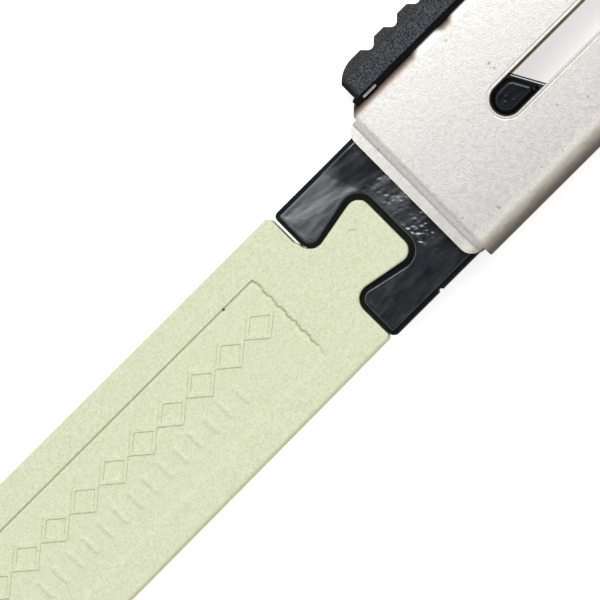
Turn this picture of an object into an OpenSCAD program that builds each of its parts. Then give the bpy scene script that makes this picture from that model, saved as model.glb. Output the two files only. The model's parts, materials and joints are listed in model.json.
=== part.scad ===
// Slide-out eraser holder. A flat refill sits in a dovetail jaw, and a thumb button slides
// jaw and refill out of a sheath folded from one steel sheet. The rest pose is fully out.
//
// Lengths are millimetres. Every sub-part is drawn with x = 0 at the mouth lip, y = 0 on the
// sheath's centre line and z = 0 on its back face: +X runs to the rear, +Y to the thumb
// button's edge and +Z out of the face. in_frame() moves that to the part's own origin, the
// middle of the underside of the whole holder.

/* [Sheath] */
// Outer width, from narrow edge to narrow edge
sheath_w = 14.5; // [14.4:0.1:15.5]
// Outer thickness, from face to face
sheath_t = 6; // [6:0.1:7]
// Length, from the mouth lip to the rear edge
sheath_len = 80; // [78:1:100]
// Thickness of the steel sheet
sheet = 0.5; // [0.4:0.05:0.5]
// Outer radius of the long bends
bend_r = 1.13; // [1:0.01:1.3]
// Width of the slit that the button's legs run in
slit_w = 2.2; // [2.1:0.1:2.6]
// Width of the slot in both faces
slot_w = 2.4; // [2.2:0.01:2.8]
// Front end of the slot
slot_x = 8.5; // [8:0.1:9]
// Sideways place of the slot
slot_y = -0.33; // [-0.6:0.01:0]
// How far the mouth lip is pressed in
lip_step = 0.22; // [0:0.01:0.22]

/* [Refill] */
// Free length in front of the jaw
refill_len = 50; // [44:1:52]
// Thickness of the refill
refill_t = 4; // [3.4:0.1:4]
// How much wider the free end is than the root
refill_flare = 0.21; // [0:0.01:0.25]

/* [Carrier] */
// Width of the jaw
jaw_w = 12.06; // [11.8:0.02:12.1]
// Sideways place of the jaw's centre line
jaw_y = -0.55; // [-0.6:0.01:-0.5]
// Sideways place of the pocket's centre line
pocket_y = -0.475; // [-0.5:0.005:-0.45]
// Reach of the jaw in front of the mouth lip
jaw_reach = 7.8; // [7:0.1:8.5]
// Travel of the carrier from fully out to fully in
travel = 56; // [50:1:56]

/* [Thumb button] */
// Height of the button's top above the sheath's narrow edge
pad_rise = 2.15; // [2:0.05:3]
// Number of thumb grooves
groove_count = 5; // [4:1:5]
// Distance from groove to groove
groove_pitch = 2.3; // [2.1:0.05:2.3]

/* [Pocket clip] */
// Width of the clip
clip_w = 5; // [4:0.5:7]
// Reach of the clip arm in front of the end cap
clip_reach = 31; // [26:1:34]

/* [Hidden] */
$fn = 64;
arc_steps = 12;
over = 1;

// Sheath
lip_len = 1.2;
lip_land = 0.78;
lip_w = 12.7;
lip_corner_r = 1.06;
corner_cut = 0.7;
inner_y = sheath_w / 2 - sheet;
edge_y = sheath_w / 2;
mid_z = sheath_t / 2;

// Jaw, and dovetail pocket as a half shape about its own centre line
jaw_corner_r = 0.42;
prong_r = 1;
pocket_r = 1.1;
pocket_depth = 5.55;
throat_half = 2.25;
pocket_half = 2.95;
pocket_x = pocket_depth - jaw_reach;
prong_c = [prong_r - jaw_reach, throat_half + prong_r];
pocket_c = [pocket_x - pocket_r, pocket_half - pocket_r];
jaw_lift = 0.45;
body_lift = 0.15;
body_x = 2.2;

// Carrier tail: its end slants, and an arm runs on under the thumb button
tail_slant = 29;
tail_x = 11.44;
tail_inset = 0.12;
arm_w = 2.95;
arm_x = 17.3;
boss_gap = 0.08;
boss_sink = 0.15;

// Thumb button, slide plate and leaf spring
pad_x = 2.18;
pad_inset = 0.05;
pad_gap = 0.32;
pad_first_groove = 3.35;
pad_len = 2 * pad_first_groove + (groove_count - 1) * groove_pitch;
pad_nose_len = 1.8;
pad_nose_drop = 0.84;
pad_nose_r = (pad_nose_len ^ 2 + pad_nose_drop ^ 2) / (2 * pad_nose_drop);
groove_r = 0.42;
groove_depth = 0.5;
leg_inset = 1.3;
leg_len = 2.2;
leg_w = 1.9;
leg_foot_y = 4.2;
leg_x = [pad_x + leg_inset, pad_x + pad_len - leg_inset - leg_len];
leg_socket_y = leg_foot_y - 0.1;
fit_gap = 0.04;
plate_gap = 0.05;
plate_t = 0.22;
plate_x = [pad_x + 0.35, pad_x + pad_len - 0.4];
plate_side_y = edge_y - 0.05;
ear_x = [pad_x + 0.5, pad_x + 1.72];
ear_side_y = edge_y - 0.5;
leaf_t = 0.2;
leaf_w = 4;
leaf_half = 3.9;
leaf_gap = 0.02;

// Refill
shoulder_x = [-0.06, -0.25] - [jaw_reach, jaw_reach];
shoulder_low_y = 3.17;
throat_play = 0.08;
tab_play = 0.18;
refill_side_y = [-6.42, 5.68];
flare_x = -33;
tip_x = -jaw_reach - refill_len;
refill_corner_r = 0.4;
tip_corner_r = 0.8;

// End cap and pocket clip
cap_len = 6;
cap_corner_r = 2.4;
plug_len = 5.5;
plug_gap = 0.1;
rivet_x = sheath_len + 3.5;
rivet_r = 1;
rivet_gap = 0.02;
rivet_head_r = 1.8;
rivet_head_h = 0.7;
rivet_upset_r = 1.5;
rivet_upset_z = 0.08;
washer_r = 2.1;
washer_t = 0.25;
washer_sink = 0.6;
clip_t = 0.5;
clip_hinge_x = sheath_len + 1;
clip_z = sheath_t + 0.02;
clip_rear_x = sheath_len + cap_len - 0.6;
clip_rise_len = 1.6;
clip_arch = 0.75;
clip_tip_x = clip_hinge_x - clip_reach;
clip_touch_x = [clip_tip_x + 3, clip_tip_x + 1.6];
clip_lift = 0.05;
clip_curl = 0.9;

// Centre of the slot's round rear end, just past the boss when the carrier is fully in
slot_end_x = tail_x + (slot_w / 2 - slot_y) * tan(tail_slant) + travel + 0.3;

// Whole holder, at rest
box_x = [tip_x, sheath_len + cap_len];
box_y = [-edge_y, edge_y + pad_rise];

span = prong_c - pocket_c;

function arc(c, r, from, to) =
    [for (i = [0 : arc_steps]) let (a = from + (to - from) * i / arc_steps) c + r * [cos(a), sin(a)]];

// Angle of the straight dovetail wall's normal: the wall touches the prong's round and the
// pocket's corner on opposite sides
function wall_angle(r0, r1) = atan2(span.y, span.x) - acos((r0 + r1) / norm(span));

// Round of a prong, straight wall and round corner of the pocket
function dovetail_half(r0, r1) =
    let (a = wall_angle(r0, r1))
    concat(arc(prong_c, r0, 180, 180 + a), arc(pocket_c, r1, a, 0));

// Outline of the pocket from prong to prong. The refill's tab is the same shape, shrunk by a
// play in the throat and by another at the tab's end.
function dovetail(play0, play1) =
    let (half = dovetail_half(prong_r + play0, pocket_r - play1), last = len(half) - 1)
    concat([for (p = half) [p.x, pocket_y + p.y]],
           [for (i = [last : -1 : 0]) [half[i].x, pocket_y - half[i].y]]);

module in_frame() {
    translate([-(box_x[0] + box_x[1]) / 2, -(box_y[0] + box_y[1]) / 2, 0]) children();
}

// Plan outline (x, y) between two heights
module plan(z) {
    translate([0, 0, z[0]]) linear_extrude(z[1] - z[0]) children();
}

// Cross-section (y, z) between two stations along the holder
module section(x) {
    translate([x[0], 0, 0]) rotate([90, 0, 90]) linear_extrude(x[1] - x[0]) children();
}

// Side outline (x, z), centred on y = 0
module side(w) {
    translate([0, w / 2, 0]) rotate([90, 0, 0]) linear_extrude(w) children();
}

module round_rect(w, h, r) {
    square([w - 2 * r, h], center = true);
    square([w, h - 2 * r], center = true);
    for (x = [-1, 1], y = [-1, 1])
        translate([x * (w / 2 - r), y * (h / 2 - r)]) circle(r);
}

// The sheath's cross-section, grown outwards by gap
module tube(gap) {
    translate([0, mid_z])
        round_rect(sheath_w + 2 * gap, sheath_t + 2 * gap, bend_r + gap);
}

// Slot with a round front end, open at its rear end, shrunk by gap
module slot_outline(gap, x1) {
    r = slot_w / 2 - gap;
    x0 = slot_x + slot_w / 2;
    translate([x0, slot_y]) circle(r);
    translate([x0, slot_y - r]) square([x1 - x0, 2 * r]);
}

// Front tab of one face: a land pressed in by lip_step, then a slope up to the face
module lip() {
    top = sheath_t - lip_step;
    intersection() {
        side(lip_w)
            polygon([[-over, top - sheet], [lip_land, top - sheet], [lip_len, sheath_t - sheet],
                     [lip_len + over, sheath_t - sheet], [lip_len + over, sheath_t],
                     [lip_len, sheath_t], [lip_land, top], [-over, top]]);
        plan([0, sheath_t]) {
            translate([0, lip_corner_r - lip_w / 2])
                square([lip_len, lip_w - 2 * lip_corner_r]);
            translate([lip_corner_r, -lip_w / 2]) square([lip_len - lip_corner_r, lip_w]);
            for (s = [-1, 1])
                translate([lip_corner_r, s * (lip_w / 2 - lip_corner_r)]) circle(lip_corner_r);
        }
    }
}

module sheath() color("#d9d7d0") in_frame() {
    difference() {
        section([lip_len, sheath_len]) difference() {
            tube(0);
            tube(-sheet);
            translate([edge_y - bend_r, mid_z - slit_w / 2]) square([2 * bend_r, slit_w]);
        }
        plan([-over, sheath_t + over]) {
            slot_outline(0, slot_end_x);
            translate([slot_end_x, slot_y]) circle(slot_w / 2);
            polygon([[lip_len - over, edge_y - corner_cut], [lip_len, edge_y - corner_cut],
                     [lip_len + corner_cut + over, edge_y + over],
                     [lip_len - over, edge_y + over]]);
        }
    }
    lip();
    translate([0, 0, sheath_t]) mirror([0, 0, 1]) lip();
}

module jaw_outline() {
    side_y = jaw_w / 2 - jaw_corner_r;
    translate([0, jaw_y]) {
        translate([jaw_corner_r - jaw_reach, -jaw_w / 2])
            square([body_x + jaw_reach, jaw_w]);
        translate([-jaw_reach, -side_y]) square([body_x, 2 * side_y]);
        for (s = [-1, 1])
            translate([jaw_corner_r - jaw_reach, s * side_y]) circle(jaw_corner_r);
    }
}

// Tail behind the mouth: the slanted end, and the arm under the thumb button
module tail_outline() {
    y0 = jaw_y - jaw_w / 2 + tail_inset;
    y1 = jaw_y + jaw_w / 2;
    step_y = y1 - arm_w;
    polygon([[body_x, y0], [tail_x - y0 * tan(tail_slant), y0],
             [tail_x - step_y * tan(tail_slant), step_y], [arm_x, step_y],
             [arm_x, y1], [body_x, y1]]);
}

module boss_outline() {
    intersection() {
        slot_outline(boss_gap, arm_x);
        tail_outline();
    }
}

module carrier() color("#1d1f21") in_frame() difference() {
    union() {
        plan([sheet + jaw_lift, sheath_t - sheet - jaw_lift]) difference() {
            jaw_outline();
            polygon(concat([[-jaw_reach - over, pocket_y]], dovetail(0, 0)));
        }
        plan([sheet + body_lift, sheath_t - sheet - body_lift]) tail_outline();
        plan([boss_sink, sheath_t - boss_sink]) boss_outline();
    }
    for (x = leg_x)
        translate([x - fit_gap, leg_socket_y, mid_z - leg_w / 2 - fit_gap])
            cube([leg_len + 2 * fit_gap, sheath_w, leg_w + 2 * fit_gap]);
}

module pad_outline() {
    top = edge_y + pad_rise;
    nose_x = pad_x + pad_nose_len;
    tail_x = pad_x + pad_len - pad_nose_len;
    intersection() {
        translate([pad_x, edge_y - bend_r]) square([pad_len, top]);
        union() {
            translate([pad_x, 0]) square([pad_len, top - pad_nose_drop]);
            translate([nose_x, 0]) square([tail_x - nose_x, top]);
            for (x = [nose_x, tail_x]) translate([x, top - pad_nose_r]) circle(pad_nose_r);
        }
    }
}

// Thumb groove about its middle line, y = 0 on the button's top: a round bottom, 45 degree sides
module groove_outline() {
    bottom = arc([0, groove_r - groove_depth], groove_r, 225, 315);
    half_w = over - bottom[0].x - bottom[0].y;
    polygon(concat([[-half_w, over]], bottom, [[half_w, over]]));
}

module thumb_button() color("#2c2e31") in_frame() {
    difference() {
        plan([pad_inset, sheath_t - pad_inset]) difference() {
            pad_outline();
            for (i = [0 : groove_count - 1])
                translate([pad_x + pad_first_groove + i * groove_pitch, edge_y + pad_rise])
                    groove_outline();
        }
        section([0, sheath_len]) tube(pad_gap);
    }
    for (x = leg_x)
        translate([x, leg_foot_y, mid_z - leg_w / 2])
            cube([leg_len, edge_y + 2 * pad_gap - leg_foot_y, leg_w]);
}

// Steel saddle between the button and the sheath, no thicker than the sheath, with an ear at its
// front on each face
module slide_plate() color("#c4c4c2") in_frame() difference() {
    section([0, sheath_len]) difference() {
        intersection() {
            tube(plate_gap + plate_t);
            square([sheath_w, sheath_t]);
        }
        tube(plate_gap);
    }
    plan([0, sheath_t]) difference() {
        square(4 * sheath_len, center = true);
        translate([plate_x[0], plate_side_y])
            square([plate_x[1] - plate_x[0], sheath_w]);
        translate([ear_x[0], ear_side_y]) square([ear_x[1] - ear_x[0], sheath_w]);
    }
    for (x = leg_x)
        translate([x - fit_gap, 0, mid_z - leg_w / 2 - fit_gap])
            cube([leg_len + 2 * fit_gap, sheath_w, leg_w + 2 * fit_gap]);
}

// Bowed leaf between the carrier's arm and the two flanges beside the slit
module leaf_spring() color("#b9b9b6") in_frame() {
    foot_y = jaw_y + jaw_w / 2 + leaf_gap;
    crown_y = inner_y - leaf_gap;
    bow = crown_y - foot_y;
    r = (leaf_half ^ 2 + bow ^ 2) / (2 * bow);
    middle_x = (leg_x[0] + leg_x[1] + leg_len) / 2;
    plan([mid_z - leaf_w / 2, mid_z + leaf_w / 2]) intersection() {
        translate([middle_x, crown_y - r]) difference() {
            circle(r);
            circle(r - leaf_t);
        }
        translate([middle_x - leaf_half, foot_y]) square([2 * leaf_half, sheath_w]);
    }
}

// Free part with a round tip, shoulders against the jaw, and the dovetail tab
module refill_outline() {
    tip_y = refill_side_y[0] - refill_flare;
    r = refill_corner_r;
    tip_r = tip_corner_r;
    polygon(concat(
        arc([shoulder_x[1] - r, refill_side_y[1] - r], r, 90, 0),
        [[shoulder_x[1], shoulder_low_y]],
        dovetail(throat_play, tab_play),
        arc([shoulder_x[0] - r, refill_side_y[0] + r], r, 0, -90),
        [[flare_x, tip_y]],
        arc([tip_x + tip_r, tip_y + tip_r], tip_r, -90, -180),
        arc([tip_x + tip_r, refill_side_y[1] - tip_r], tip_r, 180, 90)));
}

module eraser_refill() color("#d9ddc1") in_frame() {
    plan([mid_z - refill_t / 2, mid_z + refill_t / 2]) refill_outline();
}

module end_cap() color("#26282a") in_frame() difference() {
    union() {
        intersection() {
            section([sheath_len, sheath_len + cap_len]) tube(0);
            plan([0, sheath_t]) translate([sheath_len + cap_len / 2 - over, 0])
                round_rect(cap_len + 2 * over, sheath_w, cap_corner_r);
        }
        section([sheath_len - plug_len, sheath_len + over]) {
            tube(-sheet - plug_gap);
            translate([0, mid_z - slit_w / 2 + plug_gap])
                square([edge_y - plug_gap, slit_w - 2 * plug_gap]);
        }
    }
    translate([rivet_x, 0, -over]) cylinder(h = sheath_t + 2 * over, r = rivet_r + rivet_gap);
    translate([rivet_x, 0, -over]) cylinder(h = washer_sink + over, r = washer_r + rivet_gap);
}

module clip_foot() color("#cfcdc6") in_frame() difference() {
    translate([clip_hinge_x, -clip_w / 2, clip_z])
        cube([clip_rear_x - clip_hinge_x, clip_w, clip_t]);
    translate([rivet_x, 0, 0]) cylinder(h = 2 * sheath_t, r = rivet_r + rivet_gap);
}

// Springy arm: up from the foot, forward and down to its touching point, and a curled tip
module clip_arm() color("#cfcdc6") in_frame() {
    path = [[clip_hinge_x, clip_z], [clip_hinge_x - clip_rise_len, clip_z + clip_arch],
            [clip_touch_x[0], clip_z + clip_lift], [clip_touch_x[1], clip_z + clip_lift],
            [clip_tip_x, clip_z + clip_curl]];
    last = len(path) - 1;
    side(clip_w)
        polygon(concat(path, [for (i = [last : -1 : 0]) path[i] + [0, clip_t]]));
}

module clip_rivet() color("#b8b8b4") in_frame() translate([rivet_x, 0, 0]) {
    dome_r = (rivet_head_r ^ 2 + rivet_head_h ^ 2) / (2 * rivet_head_h);
    head_z = clip_z + clip_t;
    tail_z = washer_sink - washer_t;
    translate([0, 0, tail_z]) cylinder(h = head_z - tail_z, r = rivet_r);
    translate([0, 0, rivet_upset_z]) cylinder(h = tail_z - rivet_upset_z, r = rivet_upset_r);
    intersection() {
        translate([0, 0, head_z + rivet_head_h - dome_r]) sphere(dome_r);
        translate([0, 0, head_z]) cylinder(h = rivet_head_h, r = rivet_head_r);
    }
}

module rivet_washer() color("#c4c4c2") in_frame() {
    translate([rivet_x, 0, washer_sink - washer_t]) difference() {
        cylinder(h = washer_t, r = washer_r);
        translate([0, 0, -over]) cylinder(h = washer_t + 2 * over, r = rivet_r + rivet_gap);
    }
}

sheath();
end_cap();
clip_foot();
clip_arm();
clip_rivet();
rivet_washer();
carrier();
thumb_button();
slide_plate();
leaf_spring();
eraser_refill();
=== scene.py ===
"""Looks of the slide-out eraser holder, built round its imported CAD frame.

Lengths in this script are millimetres in the sheath's own frame: x = 0 at the mouth lip and
rising to the rear, y = 0 on the sheath's centre line with the thumb button at +y, z = 0 on the
back face. bake() turns a finished piece into metres in the row frame.
"""
import json
import math

import bmesh
import bpy
import numpy as np
from mathutils import Matrix, Vector, geometry


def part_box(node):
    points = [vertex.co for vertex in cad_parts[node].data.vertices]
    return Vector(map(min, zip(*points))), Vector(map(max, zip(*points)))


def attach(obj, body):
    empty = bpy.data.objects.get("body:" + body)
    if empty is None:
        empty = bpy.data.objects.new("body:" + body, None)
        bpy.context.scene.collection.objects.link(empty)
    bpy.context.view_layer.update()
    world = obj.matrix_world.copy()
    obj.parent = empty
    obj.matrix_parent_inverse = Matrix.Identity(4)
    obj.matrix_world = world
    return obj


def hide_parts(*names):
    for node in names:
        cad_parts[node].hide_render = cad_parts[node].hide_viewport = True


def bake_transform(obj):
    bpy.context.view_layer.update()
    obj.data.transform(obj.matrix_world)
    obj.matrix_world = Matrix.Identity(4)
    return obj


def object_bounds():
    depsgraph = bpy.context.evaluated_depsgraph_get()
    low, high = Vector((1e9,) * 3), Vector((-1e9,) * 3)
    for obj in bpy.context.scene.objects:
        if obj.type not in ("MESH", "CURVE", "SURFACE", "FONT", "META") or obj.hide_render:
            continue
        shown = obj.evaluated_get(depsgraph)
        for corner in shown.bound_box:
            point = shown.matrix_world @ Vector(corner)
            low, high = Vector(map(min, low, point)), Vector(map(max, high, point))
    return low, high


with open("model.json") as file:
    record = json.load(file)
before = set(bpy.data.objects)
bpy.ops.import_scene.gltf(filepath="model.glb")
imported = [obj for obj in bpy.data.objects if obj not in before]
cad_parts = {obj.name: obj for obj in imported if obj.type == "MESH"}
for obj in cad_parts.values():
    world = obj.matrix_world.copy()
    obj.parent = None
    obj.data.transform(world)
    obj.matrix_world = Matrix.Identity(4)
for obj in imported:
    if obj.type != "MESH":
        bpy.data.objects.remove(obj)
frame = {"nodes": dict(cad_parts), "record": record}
cad_lo, cad_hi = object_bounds()

MM = 0.001
sheath_lo, sheath_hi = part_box("sheath")
ORIGIN = Vector((sheath_lo.x, (sheath_lo.y + sheath_hi.y) / 2, sheath_lo.z))


def local_box(node):
    """A CAD node's lowest and highest corner, in millimetres in the sheath's frame."""
    lo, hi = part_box(node)
    return (lo - ORIGIN) / MM, (hi - ORIGIN) / MM


# ---------------------------------------------------------------- sizes, from the CAD frame

SHEATH_END, HALF_W, THICK = local_box("sheath")[1]
MID_Z = THICK / 2

# Sheath's sheet, its bends, and the slit along its +y edge
SHEET = 0.5
BEND_R = 1.13
FLAT_HALF = HALF_W - BEND_R
SLIT_HALF = 1.1

# How far the long sides of the sheath's faces lie below their middles
CROWN = 0.08

# Slot in both faces: front end, middle and half width
SLOT_X, SLOT_Y, SLOT_R = 8.5, -0.33, 1.2

# Mouth lip: its length past the cut-back corners, half width, middle, corner radius, step down
# and flat land
LIP_X = 1.2
LIP_HALF = 6.35
LIP_Y = -0.27
LIP_CORNER_R = 1.06
LIP_STEP = 0.15
LIP_LAND = 0.78
CORNER_CUT = 0.9

# Carrier: the jaw and the thicker tail behind it, which ends on a slant and in an arm
jaw_lo, jaw_hi = local_box("carrier")
JAW_TIP = jaw_lo.x
JAW_Y0, JAW_Y1 = jaw_lo.y, jaw_hi.y
JAW_Y = (JAW_Y0 + JAW_Y1) / 2
ARM_END = jaw_hi.x
JAW_Z = (0.95, THICK - 0.95)
TAIL_Z = (0.65, THICK - 0.65)
BOSS_Z = (jaw_lo.z, jaw_hi.z)
TAIL_ROOT = 2.2
TAIL_X, TAIL_SLOPE = 11.44, math.tan(math.radians(29))
TAIL_CHAMFER = 0.3
TRAVEL = next(joint["range_m"][1] for joint in frame["record"]["behaviour"]["joints"]
              if joint["name"] == "carrier_slide") / MM
SLOT_END = TAIL_X + (SLOT_R - SLOT_Y) * TAIL_SLOPE + TRAVEL + 0.3 + SLOT_R

refill_lo, refill_hi = local_box("eraser_refill")
pad_lo, pad_hi = local_box("thumb_button")
cap_lo, cap_hi = local_box("end_cap")
foot_hi = local_box("clip_foot")[1]
arm_lo, arm_hi = local_box("clip_arm")
rivet_lo, rivet_hi = local_box("clip_rivet")
washer_lo, washer_hi = local_box("rivet_washer")

# Thumb button's upper band, and its two legs in the carrier's sockets
PAD_BAND = 0.82
LEG_LEN, LEG_HALF, LEG_FOOT_Y = 2.2, 0.95, 4.2
LEG_X = (pad_lo.x + 1.3, pad_hi.x - 1.3 - LEG_LEN)
FIT_GAP = 0.04

# Radii of the rivet's bore and of the washer's seat, and where they are
BORE_R, SEAT_R = 1.02, 2.12
RIVET_AT = ((rivet_lo.x + rivet_hi.x) / 2, 0)

# Small brown stains on the sheath's faces, as places and radii
STAINS = ((10.6, 2.3, 0.11), (10.7, 1.8, 0.08), (9.6, 5.6, 0.09), (13.9, -4.2, 0.06))

# Refill's lower edge, which flares from its root by the jaw
REFILL_ROOT, REFILL_FLARE_X = (JAW_TIP - 0.06, -6.42), -33

# Recessed panel of the refill. Its short side wanders by waves of (height, rate, phase).
PANEL_TOP, PANEL_LOW, PANEL_X0, PANEL_X1 = 3.29, -4.2, -50.0, -11.96
PANEL_WANDER = ((0.055, 5.3, 0.4), (0.035, 13.0, 1.0), (0.02, 31.0, 0.0))

# Raised lozenges along the panel, and a row of short bars below them
LOZENGE_X, LOZENGE_Y, LOZENGE_PITCH, LOZENGE_HALF = PANEL_X1 - 0.5, 0.68, 2.9, (1.25, 1.05)
LOZENGE_STEEP = LOZENGE_HALF[0] * LOZENGE_HALF[1] / math.hypot(*LOZENGE_HALF)
BAR_PITCH, BAR_Y, BAR_END = 1.5, (-2.62, -1.13), -17.3

# A pit in the panel's top line, and a curled mark on the refill's tab
PIT, CURL, CURL_R = (-14.9, 3.25), (-4.75, 0.5), 0.42

# Dovetail pocket, as a half shape about its own centre line
POCKET_Y = -0.475
PRONG_R, POCKET_R = 1.0, 1.1
PRONG_C = np.array((JAW_TIP + PRONG_R, 3.25))
POCKET_C = np.array((-3.35, 1.85))


# ---------------------------------------------------------------- mesh tools

def arc(centre, r, start, end, steps=14):
    """Points on a round, from one angle to another, in degrees."""
    angles = np.radians(np.linspace(start, end, steps + 1))
    return [(centre[0] + r * math.cos(a), centre[1] + r * math.sin(a)) for a in angles]


def spaced(points, step):
    """The closed outline again, with no stretch longer than step."""
    out = []
    for i, p in enumerate(points):
        q = points[(i + 1) % len(points)]
        n = max(1, math.ceil(math.dist(p, q) / step))
        out += [(p[0] + (q[0] - p[0]) * k / n, p[1] + (q[1] - p[1]) * k / n) for k in range(n)]
    return out


def clean(points, least=1e-4):
    """The closed outline without repeated points, counter-clockwise."""
    kept = [p for i, p in enumerate(points) if math.dist(p, points[i - 1]) > least]
    area = sum(a[0] * b[1] - b[0] * a[1] for a, b in zip(kept, kept[1:] + kept[:1]))
    return kept if area > 0 else kept[::-1]


def inward(points):
    """At each point of a counter-clockwise outline, the step that moves both edges in by one."""
    p = np.array(points)
    before, after = p - np.roll(p, 1, 0), np.roll(p, -1, 0) - p
    n0 = np.stack((-before[:, 1], before[:, 0]), 1) / np.linalg.norm(before, axis=1)[:, None]
    n1 = np.stack((-after[:, 1], after[:, 0]), 1) / np.linalg.norm(after, axis=1)[:, None]
    n = n0 + n1
    n /= np.linalg.norm(n, axis=1)[:, None]
    return n / np.maximum((n * n0).sum(1), 0.3)[:, None]


def depth_inside(points, outline):
    """How far each point lies inside a closed outline, negative outside."""
    p = np.asarray(points, float)
    a = np.asarray(outline, float)
    b = np.roll(a, -1, 0)
    best = np.full(len(p), 1e9)
    inside = np.zeros(len(p), bool)
    for (ax, ay), (bx, by) in zip(a, b):
        ex, ey = bx - ax, by - ay
        t = ((p[:, 0] - ax) * ex + (p[:, 1] - ay) * ey) / (ex * ex + ey * ey)
        t = np.clip(t, 0, 1)
        gap = np.hypot(p[:, 0] - ax - t * ex, p[:, 1] - ay - t * ey)
        best = np.minimum(best, gap)
        crosses = (ay > p[:, 1]) != (by > p[:, 1])
        if ey:
            inside ^= crosses & (p[:, 0] < ex * (p[:, 1] - ay) / ey + ax)
    return np.where(inside, best, -best)


def smooth(t):
    """A soft step from 0 to 1."""
    t = np.clip(t, 0, 1)
    return t * t * (3 - 2 * t)


def rounded(r, steps=5):
    """Edge profile of a quarter round, as steps in from the side and down from the face."""
    turns = np.linspace(0, math.pi / 2, steps + 1)
    return [(r * (1 - math.cos(a)), r * (math.sin(a) - 1)) for a in turns]


def plate(outline, z0, z1, edge, grid, drop=None, relief=None, extra=(), back_relief=None):
    """A solid of one outline between two heights, with an edge profile. drop(x, y) draws both
    faces in. relief(x, y) and back_relief(x, y) add fine shape to the upper and the lower face,
    on points a grid step apart and on the extra ones."""
    ring = np.array(outline)
    step_in = inward(outline)
    n = len(ring)
    bm = bmesh.new()

    def half(sign, z_face, shape, fine):
        def height(xy):
            sunk = drop(xy[:, 0], xy[:, 1]) if drop is not None else np.zeros(len(xy))
            return z_face - sign * sunk

        rows = []
        for d, rise in (*edge, (edge[-1][0] + 0.06, 0)):
            xy = ring + step_in * d
            z = height(xy) + sign * rise
            rows.append([bm.verts.new((x, y, h)) for (x, y), h in zip(xy, z)])
        for low, high in zip(rows, rows[1:]):
            for i in range(n):
                face = [low[i], low[(i + 1) % n], high[(i + 1) % n], high[i]]
                bm.faces.new(face if sign > 0 else face[::-1])
        points = [tuple(p) for p in xy]
        if fine:
            xs = np.arange(ring[:, 0].min(), ring[:, 0].max(), fine)
            ys = np.arange(ring[:, 1].min(), ring[:, 1].max(), fine)
            inner = np.stack(np.meshgrid(xs, ys), -1).reshape(-1, 2)
            inner = np.concatenate((inner, *extra))
            inner = inner[depth_inside(inner, points) > 0.35 * fine]
            points += [tuple(p) for p in inner]
        out = geometry.delaunay_2d_cdt([Vector(p) for p in points], [], [list(range(n))], 1, 1e-6)
        xy = np.array([(v.x, v.y) for v in out[0]])
        z = height(xy)
        if shape is not None:
            fade = smooth(depth_inside(xy, points[:n]) / 0.25)
            z = z + sign * shape(xy[:, 0], xy[:, 1]) * fade
        source = [ids[0] if ids else -1 for ids in out[3]]
        verts = [rows[-1][k] if 0 <= k < n else bm.verts.new((x, y, h))
                 for k, (x, y), h in zip(source, xy, z)]
        for f in out[2]:
            face = [verts[k] for k in f]
            if len(set(face)) == 3:
                bm.faces.new(face if sign > 0 else face[::-1])
        return rows[0]

    upper = half(1, z1, relief, grid)
    lower = half(-1, z0, back_relief, grid if back_relief is not None else 0)
    for i in range(n):
        j = (i + 1) % n
        bm.faces.new([lower[i], lower[j], upper[j], upper[i]])
    return bm


def object_from(bm, name):
    """A new object of a finished bmesh, with its normals outward."""
    mesh = bpy.data.meshes.new(name)
    bmesh.ops.remove_doubles(bm, verts=bm.verts, dist=1e-5)
    bmesh.ops.recalc_face_normals(bm, faces=bm.faces)
    bm.to_mesh(mesh)
    bm.free()
    made = bpy.data.objects.new(name, mesh)
    bpy.context.scene.collection.objects.link(made)
    return made


def boolean(piece, cutter, operation="DIFFERENCE"):
    """Cuts the piece by the cutter or joins the two. The cutter is used up."""
    mod = piece.modifiers.new(operation.lower(), "BOOLEAN")
    mod.operation = operation
    mod.object = cutter
    mod.solver = "EXACT"
    apply_modifiers(piece)
    bpy.data.objects.remove(cutter)


def apply_modifiers(piece):
    shape = bpy.data.meshes.new_from_object(
        piece.evaluated_get(bpy.context.evaluated_depsgraph_get()))
    piece.modifiers.clear()
    piece.data = shape


def bevel(piece, width, segments=2, angle=35):
    mod = piece.modifiers.new("bevel", "BEVEL")
    mod.width = width
    mod.segments = segments
    mod.limit_method = "ANGLE"
    mod.angle_limit = math.radians(angle)
    mod.harden_normals = True
    for p in piece.data.polygons:
        p.use_smooth = True
    apply_modifiers(piece)


def bake(piece, body, slot, material, *nodes, sharp=40):
    """Finishes a piece: metres in the row frame, smooth shading, material and body; its slot
    argument is not used. A piece given no body is left without one here."""
    mesh = piece.data
    for p in mesh.polygons:
        p.use_smooth = True
    if sharp:
        mesh.set_sharp_from_angle(angle=math.radians(sharp))
    mesh.transform(Matrix.Translation(ORIGIN) @ Matrix.Scale(MM, 4))
    mesh.materials.clear()
    mesh.materials.append(material)
    if body:
        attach(piece, body)
    if nodes:
        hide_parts(*nodes)
    return piece


def stacked(rings, name):
    """A solid through matching rings of corners, closed at its first and last one."""
    bm = bmesh.new()
    rows = [[bm.verts.new(p) for p in ring] for ring in rings]
    bm.faces.new(rows[0][::-1])
    bm.faces.new(rows[-1])
    for a, b in zip(rows, rows[1:]):
        for i in range(len(a)):
            j = (i + 1) % len(a)
            bm.faces.new([a[i], a[j], b[j], b[i]])
    return object_from(bm, name)


def prism(outline, z0, z1):
    """An outline drawn up between two heights."""
    return stacked([[(x, y, z) for x, y in outline] for z in (z0, z1)], "prism")


def block_between(lo, hi):
    """A plain box, as a cutter or a leg."""
    corners = [(lo[0], lo[1]), (hi[0], lo[1]), (hi[0], hi[1]), (lo[0], hi[1])]
    return prism(corners, lo[2], hi[2])


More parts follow.
